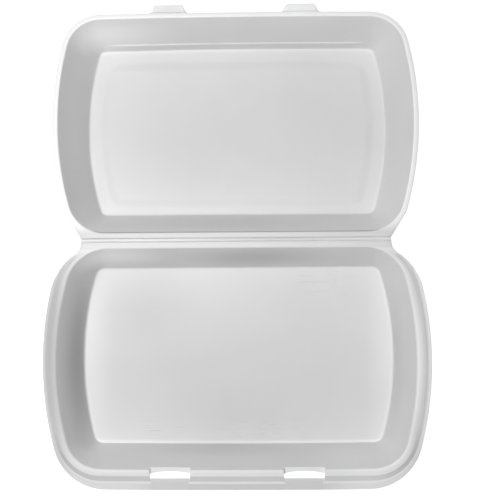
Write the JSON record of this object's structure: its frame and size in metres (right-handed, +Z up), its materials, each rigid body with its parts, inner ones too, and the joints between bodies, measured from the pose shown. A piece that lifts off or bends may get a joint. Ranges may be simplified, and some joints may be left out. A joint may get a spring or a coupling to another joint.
{
  "type": "foam clamshell container",
  "caption": "Hinged takeaway food box pressed from one sheet of foam: a base tray and a lid on a living hinge, with latch tabs that drop into slots.",
  "frame": {"origin": "on the table under the base tray, on its centre line and level with its widest place", "axes": "+Z up; +Y from the base tray across the living hinge to the lid, which lies open; +X to the right, along the hinge line"},
  "size_m": [0.24, 0.2989, 0.0387],
  "materials": {
    "foam": "white extruded polystyrene foam with a smooth satin skin"
  },
  "bodies": {
    "base": {"base_tray": "foam"},
    "lid": {"lid": "foam"}
  },
  "joints": [
    {"name": "lid_hinge", "type": "hinge", "parent": "base", "child": "lid", "pos_m": [0, 0.0742, 0.03515], "axis": [1, 0, 0], "range_deg": [0, 180]}
  ]
}
